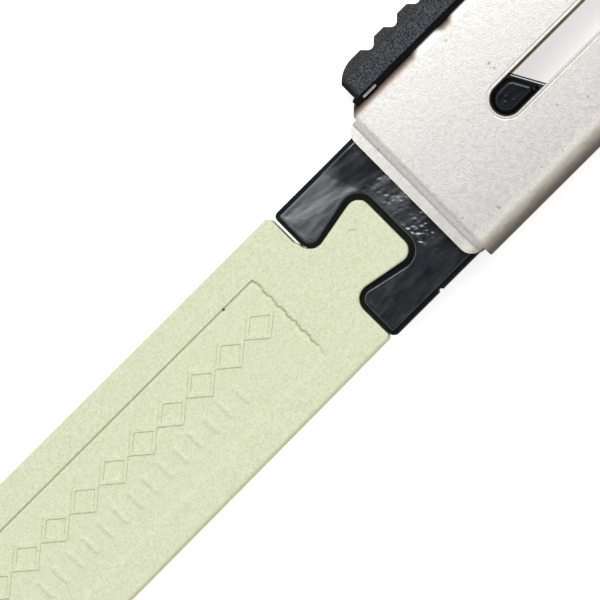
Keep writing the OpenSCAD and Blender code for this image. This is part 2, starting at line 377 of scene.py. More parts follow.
def lathe(profile, centre, name, steps=48):
    """A closed (r, z) profile turned round a vertical line, each point off the line."""
    bm = bmesh.new()
    rings = []
    for k in range(steps):
        a = 2 * math.pi * k / steps
        rings.append([bm.verts.new((centre[0] + r * math.cos(a), centre[1] + r * math.sin(a), z))
                      for r, z in profile])
    for k in range(steps):
        here, there = rings[k], rings[(k + 1) % steps]
        for i in range(len(profile)):
            j = (i + 1) % len(profile)
            bm.faces.new([here[i], there[i], there[j], here[j]])
    return object_from(bm, name)


def pin(r, z0, z1, centre, steps=48):
    """A round upright cutter."""
    return lathe([(1e-3, z0), (r, z0), (r, z1), (1e-3, z1)], centre, "pin", steps)


def cut_across(bm, places, direction):
    """Cuts a mesh by planes square to a direction, so that it can be bent there."""
    for place in places:
        geom = bm.verts[:] + bm.edges[:] + bm.faces[:]
        bmesh.ops.bisect_plane(bm, geom=geom, plane_co=direction * place, plane_no=direction,
                               dist=1e-5)


def extruded(profile, x0, x1, name):
    """A closed (y, z) cross-section drawn out along x."""
    return stacked([[(x, y, z) for y, z in profile] for x in (x1, x0)], name)


# ---------------------------------------------------------------- materials

class Field:
    """A number that varies over a surface, with plain arithmetic on it."""

    def __init__(self, tree, socket):
        self.tree = tree
        self.socket = socket

    def then(self, operation, other=0.0):
        node = self.tree.nodes.new("ShaderNodeMath")
        node.operation = operation
        feed(self.tree, self, node.inputs[0])
        feed(self.tree, other, node.inputs[1])
        return Field(self.tree, node.outputs["Value"])

    def __add__(self, other):
        return self.then("ADD", other)

    def __sub__(self, other):
        return self.then("SUBTRACT", other)

    def __mul__(self, other):
        return self.then("MULTIPLY", other)

    def __abs__(self):
        return self.then("ABSOLUTE")

    def most(self, other):
        return self.then("MAXIMUM", other)

    def remap(self, from_lo, from_hi, to_lo, to_hi, kind="LINEAR"):
        node = self.tree.nodes.new("ShaderNodeMapRange")
        node.interpolation_type = kind
        for key, number in zip(("From Min", "From Max", "To Min", "To Max"),
                               (from_lo, from_hi, to_lo, to_hi)):
            node.inputs[key].default_value = number
        feed(self.tree, self, node.inputs["Value"])
        return Field(self.tree, node.outputs["Result"])

    def fade(self, from_lo, from_hi, to_lo, to_hi):
        """Remap with soft ends."""
        return self.remap(from_lo, from_hi, to_lo, to_hi, "SMOOTHSTEP")


def feed(tree, value, socket):
    """Gives a socket a field, another node's output, a colour or a number."""
    if isinstance(value, Field):
        tree.links.new(value.socket, socket)
    elif isinstance(value, bpy.types.NodeSocket):
        tree.links.new(value, socket)
    elif isinstance(value, tuple):
        socket.default_value = (*value, 1)
    else:
        socket.default_value = value


def node_material(name):
    mat = bpy.data.materials.new(name)
    mat.use_nodes = True
    tree = mat.node_tree
    shader = tree.nodes["Principled BSDF"]
    where = tree.nodes.new("ShaderNodeTexCoord").outputs["Object"]
    return mat, tree, shader, where


def noise(tree, where, size_mm, detail=3.0, roughness=0.5, stretch=None):
    """Noise whose blotches are about size_mm across."""
    tex = tree.nodes.new("ShaderNodeTexNoise")
    tex.inputs["Scale"].default_value = 1 / (size_mm * MM)
    tex.inputs["Detail"].default_value = detail
    tex.inputs["Roughness"].default_value = roughness
    if stretch:
        scale = tree.nodes.new("ShaderNodeMapping")
        scale.inputs["Scale"].default_value = stretch
        tree.links.new(where, scale.inputs["Vector"])
        where = scale.outputs["Vector"]
    tree.links.new(where, tex.inputs["Vector"])
    return Field(tree, tex.outputs["Fac"])


def ramp(field, stops):
    """Colours over a field, from (value, colour) stops."""
    node = field.tree.nodes.new("ShaderNodeValToRGB")
    elements = node.color_ramp.elements
    while len(elements) < len(stops):
        elements.new(0.5)
    for element, (at, colour) in zip(elements, stops):
        element.position = at
        element.color = (*colour, 1)
    feed(field.tree, field, node.inputs["Fac"])
    return node.outputs["Color"]


def mix(tree, factor, a, b, blend="MIX"):
    node = tree.nodes.new("ShaderNodeMix")
    node.data_type = "RGBA"
    node.blend_type = blend
    feed(tree, factor, node.inputs["Factor"])
    for key, value in (("A", a), ("B", b)):
        feed(tree, value, next(s for s in node.inputs if s.name == key and s.type == "RGBA"))
    return next(s for s in node.outputs if s.type == "RGBA")


def tinted(tree, colour, layers):
    """The colour with each (mask, tint) laid over it in turn."""
    for mask, tint in layers:
        colour = mix(tree, mask, colour, tint)
    return colour


def bump(tree, shader, layers):
    """Chains height layers of (field, height in millimetres) into the shader's normal."""
    normal = None
    for field, height in layers:
        node = tree.nodes.new("ShaderNodeBump")
        node.inputs["Strength"].default_value = 1.0
        node.inputs["Distance"].default_value = height * MM
        feed(tree, field, node.inputs["Height"])
        if normal is not None:
            tree.links.new(normal, node.inputs["Normal"])
        normal = node.outputs["Normal"]
    tree.links.new(normal, shader.inputs["Normal"])


def axis(tree, where, name):
    node = tree.nodes.new("ShaderNodeSeparateXYZ")
    tree.links.new(where, node.inputs["Vector"])
    return Field(tree, node.outputs[name])


def sheath_axes(tree, where, names):
    """Millimetres along the named axes of the sheath's frame."""
    return [(axis(tree, where, name) - ORIGIN["XYZ".index(name)]) * (1 / MM) for name in names]


def slot_distance(x, y):
    """Millimetres from the slot's edge, over the sheath's face."""
    half = (SLOT_END - SLOT_X) / 2 - SLOT_R
    along = (abs(x - (SLOT_X + SLOT_R + half)) - half).most(0)
    across = y - SLOT_Y
    return (along * along + across * across).then("SQRT") - SLOT_R


def distance_from(x, y, place):
    """Millimetres over the face from a place."""
    dx, dy = x - place[0], y - place[1]
    return (dx * dx + dy * dy).then("SQRT")


def window(x, lo, hi, soft):
    """1 between two places along x, with soft ends."""
    return x.fade(lo - soft, lo + soft, 0, 1) * x.fade(hi - soft, hi + soft, 1, 0)


def steel(name, bright=(0.84, 0.83, 0.80), dull=(0.67, 0.655, 0.62), rough=0.36, sheath=False,
          pad_shaded=False):
    """Satin plated sheet: fine grain and a few small stains. The sheath has its dirt and painted
    shade too, and pad-shaded steel is painted near black as the thumb pad's shadow, save along one
    thin lit line."""
    mat, tree, shader, where = node_material(name)
    shader.inputs["Metallic"].default_value = 1.0
    grain = noise(tree, where, 0.13, 2, 0.6)
    colour = ramp(grain, [(0.30, dull), (0.66, bright)])
    stain = ramp(noise(tree, where, 0.45, 1), [(0.76, (1, 1, 1)), (0.80, (0.70, 0.64, 0.54))])
    colour = mix(tree, 1.0, colour, stain, "MULTIPLY")
    satin = noise(tree, where, 0.4, 4).remap(0.3, 0.7, rough - 0.02, rough + 0.03)
    layers = [(noise(tree, where, 0.3, 2), 0.003), (grain, 0.005)]
    if sheath:
        dirt_and_shade, low, line = sheath_dirt_and_shade(tree, where)
        colour = tinted(tree, colour, dirt_and_shade)
        satin = satin + low * 0.35
        layers.append((line * -1 + 1, 0.02))
    if pad_shaded:
        # Painted shadow: the plate under the thumb pad is darkened to near black, all but the thin
        # strip that shows lit in front of the pad.
        y = sheath_axes(tree, where, "Y")[0]
        lit_strip = y.fade(6.75, 6.80, 0, 1) * y.fade(6.93, 6.98, 1, 0)
        colour = mix(tree, lit_strip, (0.03, 0.025, 0.02), colour)
    feed(tree, colour, shader.inputs["Base Color"])
    feed(tree, satin, shader.inputs["Roughness"])
    bump(tree, shader, layers)
    return mat


def sheath_dirt_and_shade(tree, where):
    """Dirt and painted shade of the sheath as (mask, tint) layers, with the masks of its lower
    bend, darkened partly as dirt and partly as painted shade, and of the burred line round the
    slot."""
    x, y, z = sheath_axes(tree, where, "XYZ")
    # The lower bend is darkened and browned, partly dirt and partly painted shade of the side
    # turned from the light.
    low = y.fade(0.9 - FLAT_HALF, -0.7 - FLAT_HALF, 0, 0.75)
    low = low * noise(tree, where, 0.35, 3, stretch=(0.4, 1.0, 1.0)).remap(0.35, 0.65, 0.7, 1.1)
    # Painted shadow and reflection of the thumb pad on the +y bend, fixed where the pad rests: tan
    # where the pad is mirrored, near black in its contact shadow.
    pad_shade_reach = window(x, 0.5, 7.5, 0.5).most(window(x, 9.7, 11, 0.4))
    pad_shade_reach = pad_shade_reach * y.fade(FLAT_HALF + 0.7, FLAT_HALF + 0.85, 1, 0)
    high = pad_shade_reach * y.fade(FLAT_HALF - 0.15, FLAT_HALF + 0.25, 0, 0.95)
    pad_contact_shadow = pad_shade_reach * y.fade(FLAT_HALF + 0.2, FLAT_HALF + 0.55, 0, 0.9)
    gap = slot_distance(x, y)
    wall = gap.fade(0.0, 0.05, 0.95, 0)
    line = abs(gap - 0.2).fade(0.02, 0.07, 1, 0)
    faint = line * noise(tree, where, 1.1, 2).remap(0.4, 0.6, 0.15, 0.6)
    # Painted shade: a dark line in the lip's crease and a soft darkening on the slope behind it.
    crease_shade = abs(x - LIP_LAND).fade(0.03, 0.08, 0.5, 0)
    lee_shade = x.remap(LIP_LAND, LIP_LAND + 1.2, 0.08, 0) * window(x, LIP_LAND, LIP_LAND + 1.2, 0.02)
    soil_and_shade = low.most(faint).most(crease_shade).most(lee_shade)
    ragged = noise(tree, where, 0.2, 3).remap(0.35, 0.65, -0.08, 0.08)
    for *place, r in STAINS:
        soil_and_shade = soil_and_shade.most((distance_from(x, y, place) + ragged).fade(0.6 * r, 1.3 * r, 0.8, 0))
    inside = abs(z - MID_Z).remap(MID_Z - SHEET - 0.01, MID_Z - SHEET + 0.03, 1, 0)
    inside = inside * abs(y).remap(6.2, 6.3, 1, 0)
    dirt_and_shade = [(inside, (0.86, 0.68, 0.40)), (soil_and_shade, (0.42, 0.36, 0.26)),
            (high, (0.17, 0.135, 0.105)), (pad_contact_shadow, (0.05, 0.035, 0.025)), (wall, (0.50, 0.38, 0.21))]
    return dirt_and_shade, low, line


def gloss_black(name, specular, bloom=0.0):
    """Glossy moulded black. bloom is the pale bluish haze of handled plastic."""
    mat, tree, shader, where = node_material(name)
    x, y = sheath_axes(tree, where, "XY")
    haze = np.array((0.7, 0.9, 1.1)) * bloom
    colour = ramp(noise(tree, where, 0.8, 5, 0.65, stretch=(0.4, 1.2, 1.0)),
                  [(0.32, tuple((0.003, 0.004, 0.005) + haze * 0.1)),
                   (0.68, tuple((0.009, 0.011, 0.013) + haze * 2.0))])
    feed(tree, colour, shader.inputs["Base Color"])
    smear = noise(tree, where, 0.7, 4, stretch=(0.35, 1.3, 1.0)).remap(0.35, 0.7, 0.11, 0.24)
    scuffed = y.fade(1.0, 3.5, 0, 0.14) * x.fade(-3.4, -2.0, 1, 0)
    feed(tree, smear + scuffed, shader.inputs["Roughness"])
    shader.inputs["IOR"].default_value = 1.54
    shader.inputs["Specular IOR Level"].default_value = specular
    bump(tree, shader, [(noise(tree, where, 1.2, 2), 0.012), (noise(tree, where, 0.35, 2), 0.003),
                        (noise(tree, where, 0.11, 1), 0.0035)])
    return mat


def matt_black():
    """Spark-eroded black plastic. The thumb button's upper band is painted a little darker and
    browner as shade on its leaning face, its skirt is painted near black as the shadow under the
    pad, and its rounded front end is painted darker as shade."""
    mat, tree, shader, where = node_material("matt_black_plastic")
    x, y = sheath_axes(tree, where, "XY")
    grain = noise(tree, where, 0.10, 1, 0.6)
    body = ramp(grain, [(0.30, (0.004, 0.005, 0.006)), (0.70, (0.100, 0.106, 0.123))])
    # Painted shade: the upper band's darker, browner colour.
    top_shade = ramp(grain, [(0.30, (0.012, 0.011, 0.010)), (0.70, (0.080, 0.077, 0.072))])
    line = pad_hi.y - PAD_BAND
    band = y.fade(line, line + 0.08, 0, 1)
    reach = y.remap(6.3, 6.6, 0, 1)
    # Painted shadow: the skirt under the pad's lower edge goes near black, and the rounded front
    # end darker.
    undercut_shadow = y.fade(7.10, 7.17, 1, 0) * x.remap(70, 71, 1, 0) * reach
    end_shade = x.fade(pad_lo.x + 0.1, pad_lo.x + 0.65, 0.9, 0) * reach
    colour = tinted(tree, body, [(band, top_shade), (end_shade, (0.008, 0.007, 0.005)),
                                 (undercut_shadow, (0.0025, 0.0018, 0.0015))])
    feed(tree, colour, shader.inputs["Base Color"])
    feed(tree, noise(tree, where, 0.8, 3).remap(0.3, 0.7, 0.46, 0.6), shader.inputs["Roughness"])
    shader.inputs["Specular IOR Level"].default_value = 0.08
    bump(tree, shader, [(grain, 0.03), (noise(tree, where, 0.9, 2), 0.012)])
    return mat


def vinyl():
    """Pale green vinyl with fine flecks, with painted shade on its panel's top line and short side
    and along its rounded long edges.
    """
    mat, tree, shader, where = node_material("eraser_vinyl")
    x, y = sheath_axes(tree, where, "XY")
    fleck = noise(tree, where, 0.11, 2, 0.65)
    colour = ramp(noise(tree, where, 0.3, 2),
                  [(0.34, (0.645, 0.680, 0.475)), (0.66, (0.700, 0.730, 0.535))])
    grain = ramp(fleck, [(0.33, (0.82, 0.83, 0.77)), (0.50, (1, 1, 1)), (0.72, (1.08, 1.07, 1.10))])
    colour = mix(tree, 1.0, colour, grain, "MULTIPLY")
    wander = 0
    for size, rate, phase in PANEL_WANDER:
        wander = (y * rate + phase).then("SINE") * -size + wander
    # Painted shade: the panel's top line and short side, whose walls face away from the light, are
    # darkened.
    top_shade = abs(y - PANEL_TOP).fade(0.04, 0.09, 0.55, 0) * window(x, PANEL_X0, PANEL_X1, 0.05)
    side = abs(x + wander - PANEL_X1).fade(0.04, 0.11, 0.55, 0)
    side = side * y.fade(-3.9, -2.6, 0, 1) * y.fade(3.25, 3.35, 1, 0)
    pit = distance_from(x, y, PIT).fade(0.07, 0.13, 0.9, 0)
    curl = abs(distance_from(x, y, CURL) - CURL_R).fade(0.03, 0.09, 0.45, 0)
    curl = curl * x.fade(CURL[0] - 0.2, CURL[0] + 0.2, 0, 1) * y.fade(CURL[1], CURL[1] + 0.1, 0, 1)
    flare = (refill_lo.y - REFILL_ROOT[1]) / (REFILL_FLARE_X - REFILL_ROOT[0])
    drift = ((x - REFILL_ROOT[0]) * flare).most(refill_lo.y - REFILL_ROOT[1])
    # Painted shade along the rounded lower and upper edges.
    lower = (y - REFILL_ROOT[1] - drift).fade(0.08, 0.32, 0.5, 0)
    upper = y.fade(refill_hi.y - 0.22, refill_hi.y, 0, 0.4)
    colour = tinted(tree, colour, [
        (top_shade.most(side), (0.36, 0.37, 0.20)), (pit, (0.10, 0.11, 0.04)), (curl, (0.33, 0.35, 0.15)),
        (lower, (0.50, 0.51, 0.29)), (upper, (0.50, 0.53, 0.36))])
    feed(tree, colour, shader.inputs["Base Color"])
    feed(tree, fleck.remap(0.3, 0.7, 0.55, 0.72), shader.inputs["Roughness"])
    shader.inputs["Subsurface Weight"].default_value = 0.08
    shader.inputs["Subsurface Radius"].default_value = (1.0, 1.0, 0.6)
    shader.inputs["Subsurface Scale"].default_value = 0.3 * MM
    bump(tree, shader, [(fleck, 0.016), (noise(tree, where, 0.5, 3), 0.018)])
    return mat


SPRING = {"bright": (0.86, 0.86, 0.85), "dull": (0.74, 0.74, 0.73), "rough": 0.22}
SHEATH_STEEL = steel("satin_sheath_steel", sheath=True)
CLIP_STEEL = steel("satin_clip_steel")
BRIGHT_STEEL = steel("bright_spring_steel", **SPRING)
# The slide plate's steel, painted near black as the pad's shadow but for one thin lit strip.
PAD_SHADED_STEEL = steel("spring_steel_pad_shade", **SPRING, pad_shaded=True)
GLOSS_BLACK = gloss_black("gloss_black_plastic", 0.9, 0.013)
# A duller copy of the gloss black, for painted shade on the boss.
BOSS_SHADE_BLACK = gloss_black("black_plastic_boss_shade", 0.3)
# A much duller copy of the gloss black, for painted shade on the jaw's rims.
RIM_SHADE_BLACK = gloss_black("black_plastic_rim_shade", 0.12)
MATT_BLACK = matt_black()
VINYL = vinyl()


# ---------------------------------------------------------------- sheath

def tube_loop(inset, steps=10):
    """Half-open cross-section from one flange edge round to the other, (y, z)."""
    r = BEND_R - inset
    low, high = BEND_R, THICK - BEND_R
    return ([(HALF_W - inset, MID_Z - SLIT_HALF)]
            + arc((FLAT_HALF, low), r, 0, -90, steps) + arc((-FLAT_HALF, low), r, -90, -180, steps)
            + arc((-FLAT_HALF, high), r, 180, 90, steps) + arc((FLAT_HALF, high), r, 90, 0, steps)
            + [(HALF_W - inset, MID_Z + SLIT_HALF)])


def round_bar(x0, x1, y, r):
    """Slot outline with both ends round."""
    return arc((x0 + r, y), r, 90, 270, 20) + arc((x1 - r, y), r, -90, 90, 20)


def make_sheath():
    shell = extruded(clean(tube_loop(0) + tube_loop(SHEET)[::-1]), 0, SHEATH_END, "sheath_shell")
    deep = (-1, THICK + 1)
    boolean(shell, prism(clean(round_bar(SLOT_X, SLOT_END, SLOT_Y, SLOT_R)), *deep))
    corner, out = LIP_CORNER_R, HALF_W + 1
    low_y, high_y = LIP_Y - LIP_HALF, LIP_Y + LIP_HALF
    notch_low = ([(-1, -out), (LIP_X, -out), (LIP_X, low_y)]
                 + arc((corner, low_y + corner), corner, -90, -180, 8) + [(-1, low_y + corner)])
    notch_high = ([(-1, out), (LIP_X + CORNER_CUT + 1, out), (LIP_X, HALF_W - CORNER_CUT),
                   (LIP_X, high_y)]
                  + arc((corner, high_y - corner), corner, 90, 180, 8) + [(-1, high_y - corner)])
    boolean(shell, prism(clean(notch_low), *deep))
    boolean(shell, prism(clean(notch_high), *deep))
    bm = bmesh.new()
    bm.from_mesh(shell.data)
    crease_x = [LIP_LAND + d for d in (-0.03, 0, 0.03, 0.08, 0.15, 0.24, 0.35, 0.48, 0.62)]
    ease_x = crease_x[-1]
    cut_across(bm, (0.3, *crease_x, ease_x + 0.1, 2.6, 8.0, 11.5, 30, 50, 70.5), Vector((1, 0, 0)))
    cut_across(bm, (*np.linspace(-6, -2, 9), *np.linspace(1.5, 6, 10)), Vector((0, 1, 0)))
    for v in bm.verts:
        x, y, z = v.co
        drop = 0.0
        if x < ease_x:
            rise = np.clip((x - LIP_LAND) / (ease_x - LIP_LAND), 0, 1)
            drop = LIP_STEP * (1 - rise) ** 2
        drop += CROWN * (min(abs(y), FLAT_HALF) / FLAT_HALF) ** 2
        v.co.z -= math.copysign(drop, z - MID_Z)
    bmesh.ops.dissolve_degenerate(bm, dist=1e-5, edges=bm.edges)
    bm.to_mesh(shell.data)
    bm.free()
    bevel(shell, 0.07, 3, 50)
    return bake(shell, "sheath", "sheath_steel", SHEATH_STEEL, "sheath", sharp=0)


# ---------------------------------------------------------------- carrier

def dovetail(play0, play1):
    """Outline of the pocket, or of the refill's tab with some play in the throat and at its end."""
    r0, r1 = PRONG_R + play0, POCKET_R - play1
    dx, dy = PRONG_C - POCKET_C
    wall = math.degrees(math.atan2(dy, dx) - math.acos((r0 + r1) / np.hypot(dx, dy)))
    half = arc(PRONG_C, r0, 180, 180 + wall, 18) + arc(POCKET_C, r1, wall, 0, 14)
    return [(x, POCKET_Y + y) for x, y in half] + [(x, POCKET_Y - y) for x, y in reversed(half)]


def dent_field(seed, count, x_range, y_range, size, depth):
    """Small round dents at seeded places. A negative depth makes a bump."""
    rng = np.random.default_rng(seed)
    spots = np.stack((rng.uniform(*x_range, count), rng.uniform(*y_range, count),
                      rng.uniform(*size, count), rng.uniform(*depth, count)), 1)

    def field(x, y):
        z = np.zeros_like(x)
        for sx, sy, r, h in spots:
            z -= h * np.exp(-((x - sx) ** 2 + (y - sy) ** 2) / (r * r))
        return z
    return field


def ripple(seed, count, wavelength, height, heading=(0, math.pi)):
    """Gentle waves of seeded directions and lengths, added up."""
    rng = np.random.default_rng(seed)
    waves = np.stack((rng.uniform(*heading, count), rng.uniform(*wavelength, count),
                      rng.uniform(0, 2 * math.pi, count)), 1)

    def field(x, y):
        z = np.zeros_like(x)
        for turn, length, phase in waves:
            z += np.sin((x * math.cos(turn) + y * math.sin(turn)) * 2 * math.pi / length + phase)
        return z * height / math.sqrt(count)
    return field


def jaw_plate(nick):
    """The C-shaped jaw, with a nick in its lower edge. Its upper prong leans back, and what looks
    flat is gently waved and pitted."""
    r, root = 0.42, TAIL_ROOT + 0.1
    outline = clean(spaced(
        dovetail(0, 0)
        + arc((JAW_TIP + r, JAW_Y0 + r), r, 180, 270, 8)
        + [(root, JAW_Y0), (root, JAW_Y1)]
        + arc((JAW_TIP + r, JAW_Y1 - r), r, 90, 180, 8), 0.3))
    uneven = (dent_field(7, 90, (-2.1, 0.3), (-5.4, 2.4), (0.04, 0.10), (-0.03, 0.03)),
              dent_field(8, 70, (-2.0, -0.5), (-3.6, -1.7), (0.04, 0.11), (-0.05, 0.05)),
              ripple(11, 9, (1.4, 3.6), 0.017, (1.1, 2.0)),
              ripple(12, 14, (0.35, 0.9), 0.0026, (1.2, 1.95)))

    def drop(x, y):
        level_x = np.minimum(-1.1 - 0.4 * y, -1.9)
        lean = smooth((y + 3) / 6) * (np.clip(x, JAW_TIP, level_x) - JAW_TIP)
        swell = 0.15 * np.exp(-((x + 0.8) ** 2 / 1.6 + (y - 5.3) ** 2 / 1.8))
        return 0.0060 * (y - JAW_Y) ** 2 + 0.05 * lean - swell

    def relief(x, y):
        inside = depth_inside(np.stack((x, y), 1), outline)
        cut = -0.3 * np.exp(-((x - nick[0]) ** 2 + (y - nick[1]) ** 2) / 0.03)
        calm = smooth((inside - 0.4) / 0.3)
        return sum(field(x, y) for field in uneven) * calm + cut

    chamfer = [(0, -0.5), (0.04, -0.40), (0.27, -0.06), (0.31, -0.025), (0.35, -0.008), (0.40, 0)]
    return plate(outline, *JAW_Z, chamfer, 0.1, drop, relief, back_relief=relief)


def slant_x(y):
    """Where the tail's slanted end is at a height y."""
    return TAIL_X - y * TAIL_SLOPE


def tail_plate():
    """The tail behind the jaw, with the arm that runs on under the thumb button."""
    q, low_y, step_y = TAIL_CHAMFER, JAW_Y0 + 0.12, JAW_Y1 - 2.95
    outline = clean(spaced(
        [(TAIL_ROOT, low_y), (slant_x(low_y) + RIB_X - q, low_y),
         (slant_x(low_y + q) + RIB_X, low_y + q), (slant_x(step_y) + RIB_X, step_y),
         (ARM_END - q, step_y), (ARM_END, step_y + q), (ARM_END, JAW_Y1 - q), (ARM_END - q, JAW_Y1),
         (TAIL_ROOT, JAW_Y1)], 0.5))
    return plate(outline, *TAIL_Z, rounded(0.12, 3), 0)


# A slit runs along the tail's slanted end, and a thin rib is left behind it
SLIT_GAP = (0.03, 0.16)
RIB_X = SLIT_GAP[1] + 0.06
SLIT_REACH = 1.4


def make_carrier():
    nick, nick_r = (-3.08, JAW_Y0), 0.17
    body = object_from(jaw_plate(nick), "carrier_body")
    tail = object_from(tail_plate(), "carrier_tail")
    ends = (SLOT_Y - SLIT_REACH, SLOT_Y + SLIT_REACH)
    slit = ([(slant_x(y) + SLIT_GAP[0], y) for y in ends]
            + [(slant_x(y) + SLIT_GAP[1], y) for y in ends[::-1]])
    boolean(tail, prism(clean(slit), -1, THICK + 1))
    boolean(body, tail, "UNION")
    web = prism(clean(dovetail(-0.1, -0.1)), MID_Z - 0.6, MID_Z + 0.6)
    boolean(web, prism(clean(dovetail(0.065, 0.165)), MID_Z - 1, MID_Z + 1))
    boolean(body, web, "UNION")
    boolean(body, pin(nick_r, -1, THICK, nick, 12))
    socket_half = LEG_HALF + FIT_GAP
    for x in LEG_X:
        socket_lo = (x - FIT_GAP, LEG_FOOT_Y - 0.1, MID_Z - socket_half)
        socket_hi = (x + LEG_LEN + FIT_GAP, HALF_W, MID_Z + socket_half)
        boolean(body, block_between(socket_lo, socket_hi))
    bake(body, "slider", "carrier_plastic", GLOSS_BLACK, "carrier")
    # Painted shade: the jaw's rims and side walls take a far less reflective copy of its gloss
    # black, so they read dark.
    body.data.materials.append(RIM_SHADE_BLACK)
    for p in body.data.polygons:
        p.material_index = int(abs(p.normal.z) < 0.9)


def make_boss():
    """The carrier's boss in the front end of the slot, with softly sloped sides."""
    q, boss_r = TAIL_CHAMFER, SLOT_R - 0.08
    low_y, high_y = SLOT_Y - boss_r, SLOT_Y + boss_r
    outline = clean(spaced(
        arc((SLOT_X + SLOT_R, SLOT_Y), boss_r, 90, 270, 20)
        + [(slant_x(low_y) - q, low_y), (slant_x(low_y + q), low_y + q),
           (slant_x(high_y - q), high_y - q), (slant_x(high_y) - q, high_y)], 0.12))
    specks = dent_field(3, 5, (9.3, 10.2), (-0.9, 0.1), (0.05, 0.10), (-0.03, -0.015))

    def relief(x, y):
        inside = depth_inside(np.stack((x, y), 1), outline)
        return -0.01 * smooth((inside - 0.46) / 0.12) + specks(x, y)

    slope = [(0, -0.6), (0.04, -0.50), (0.30, -0.10), (0.36, -0.05), (0.42, -0.018), (0.49, 0)]
    boss = object_from(plate(outline, *BOSS_Z, slope, 0.07, relief=relief), "carrier_boss")
    # Painted shade: the boss takes a less reflective copy of the carrier's gloss black, so it reads
    # darker in the slot.
    bake(boss, "slider", "carrier_plastic", BOSS_SHADE_BLACK)


# ---------------------------------------------------------------- refill

def step_edge(t, half_width):
    """0 below an edge and 1 above it, over a short slope."""
    return smooth((t + half_width) / (2 * half_width))


def bar(t, half, slope):
    """1 within half of the middle and 0 beyond the slope."""
    return 1 - smooth((np.abs(t) - half) / slope)


REFILL_DENTS = dent_field(21, 130, (-57, -2), (-6, 5), (0.08, 0.35), (-0.012, 0.014))


def refill_relief(x, y):
    """The refill's face: recessed panel, lozenges, bars, pit, curled mark and small dents."""
    wander = sum(size * np.sin(rate * y + phase) for size, rate, phase in PANEL_WANDER)
    panel = (step_edge(PANEL_TOP - y, 0.05) * step_edge(y - PANEL_LOW, 0.12)
             * step_edge(PANEL_X1 - x + wander, 0.06) * step_edge(x - PANEL_X0, 0.15))
    line = bar(y - PANEL_TOP, 0.02, 0.07) * step_edge(PANEL_X1 - x, 0.06)
    side = (bar(PANEL_X1 - x + wander, 0.03, 0.09) * step_edge(PANEL_TOP - y, 0.05)
            * step_edge(y + 3.3, 0.5))
    z = -0.075 * panel - 0.07 * line - 0.09 * side
    phase = (x - LOZENGE_X) % LOZENGE_PITCH - LOZENGE_PITCH / 2
    across = np.abs(y - LOZENGE_Y) / LOZENGE_HALF[1]
    away = (np.abs(phase) / LOZENGE_HALF[0] + across - 1) * LOZENGE_STEEP
    z += 0.10 * bar(away, 0.10, 0.06) * (x < LOZENGE_X) * (x > PANEL_X0 + 1.2)
    tick = (x + 100) % BAR_PITCH - BAR_PITCH / 2
    marks = bar(tick, 0.10, 0.10) * step_edge(y - BAR_Y[0], 0.08) * step_edge(BAR_Y[1] - y, 0.08)
    z += 0.09 * marks * (x < BAR_END) * (x > PANEL_X0 + 1.5)
    pit = (x - PIT[0]) ** 2 + (y - PIT[1]) ** 2
    z -= 0.16 * np.exp(-pit / 0.012)
    curl = np.abs(np.hypot(x - CURL[0], y - CURL[1]) - CURL_R) + 0.6 * np.maximum(0, CURL[1] - y)
    z -= 0.05 * np.exp(-(curl / 0.07) ** 2)
    z += 0.012 * np.sin(0.35 * x + 1.2) * np.cos(0.5 * y)
    return z + REFILL_DENTS(x, y)


def lozenge_points():
    """Mesh points along the lozenges' raised outlines."""
    points = []
    middle = LOZENGE_X - LOZENGE_PITCH / 2
    while middle > PANEL_X0 + 2:
        for grow in (-0.16, -0.10, 0.10, 0.16):
            grow = 1 + grow / LOZENGE_STEEP
            for t in np.linspace(0, 1, 17)[:-1]:
                dx, dy = LOZENGE_HALF[0] * grow * (1 - t), LOZENGE_HALF[1] * grow * t
                points += [(middle + sx * dx, LOZENGE_Y + sy * dy)
                           for sx in (-1, 1) for sy in (-1, 1)]
        middle -= LOZENGE_PITCH
    return np.array(points)


def make_refill():
    lo, hi = refill_lo, refill_hi
    root_y, side_y = REFILL_ROOT[1], hi.y
    r, tip_r = 0.4, 0.8
    shoulder = (REFILL_ROOT[0], JAW_TIP - 0.25)
    outline = clean(spaced(
        arc((shoulder[1] - r, side_y - r), r, 90, 0, 6) + [(shoulder[1], 3.17)]
        + dovetail(0.08, 0.18)
        + arc((shoulder[0] - r, root_y + r), r, 0, -90, 6)
        + [(REFILL_FLARE_X, lo.y)]
        + arc((lo.x + tip_r, lo.y + tip_r), tip_r, -90, -180, 10)
        + arc((lo.x + tip_r, side_y - tip_r), tip_r, 180, 90, 10), 0.4))
    xs = np.arange(PANEL_X0, PANEL_X1, 0.13)
    ys = np.arange(PANEL_LOW, PANEL_TOP, 0.13)
    extra = [np.stack((xs, np.full_like(xs, PANEL_TOP + d)), 1) for d in (-0.045, 0.045)]
    extra += [np.stack((np.full_like(ys, PANEL_X1 + d), ys), 1) for d in (-0.07, 0.0, 0.07)]
    extra.append(lozenge_points())
    body = object_from(plate(outline, lo.z, hi.z, rounded(0.16), 0.13, relief=refill_relief,
                             extra=extra), "eraser_block")
    return bake(body, "slider", "eraser_vinyl", VINYL, "eraser_refill")


# ---------------------------------------------------------------- thumb button

